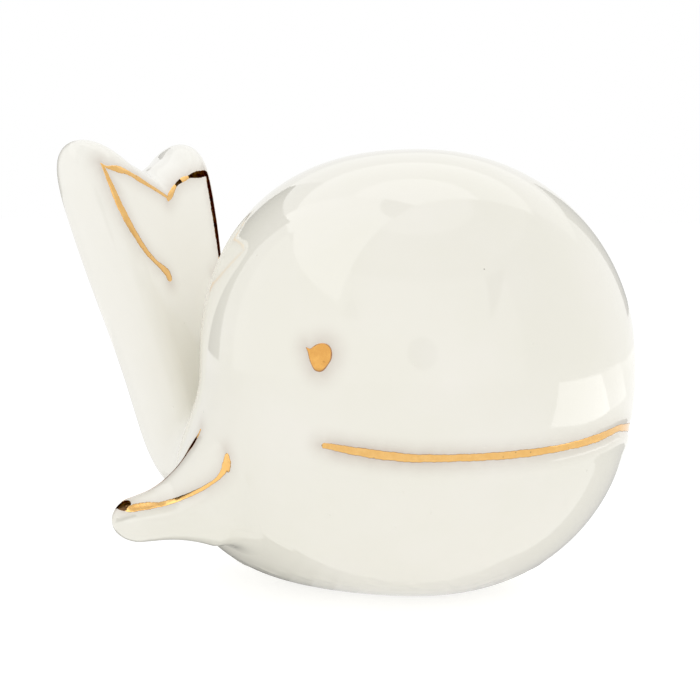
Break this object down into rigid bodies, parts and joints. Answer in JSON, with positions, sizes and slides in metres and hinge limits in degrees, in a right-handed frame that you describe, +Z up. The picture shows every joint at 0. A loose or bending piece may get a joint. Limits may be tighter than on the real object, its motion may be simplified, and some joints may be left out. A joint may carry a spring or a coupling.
{
  "type": "whale figurine",
  "caption": "Round glazed porcelain whale ornament with a raised notched tail, side flippers and hand-gilded mouth, eyes and edge lines.",
  "frame": {"origin": "centre of the flat foot, on the plane that the whale rests on", "axes": "+X runs to the nose, +Y to the whale's left side, +Z up; the whale is alike on both sides of the plane Y = 0"},
  "size_m": [0.0765, 0.0656, 0.0584],
  "materials": {
    "glazed_porcelain": "glossy",
    "gold_lustre": "polished"
  },
  "bodies": {
    "root": {"body_shell": "glazed_porcelain", "tail": "glazed_porcelain", "tail_slip": "glazed_porcelain", "right_flipper": "glazed_porcelain", "left_flipper": "glazed_porcelain", "right_flipper_slip": "glazed_porcelain", "left_flipper_slip": "glazed_porcelain", "mouth_line": "gold_lustre", "right_eye": "gold_lustre", "left_eye": "gold_lustre", "fluke_line": "gold_lustre", "right_flipper_line": "gold_lustre", "left_flipper_line": "gold_lustre"}
  },
  "joints": []
}
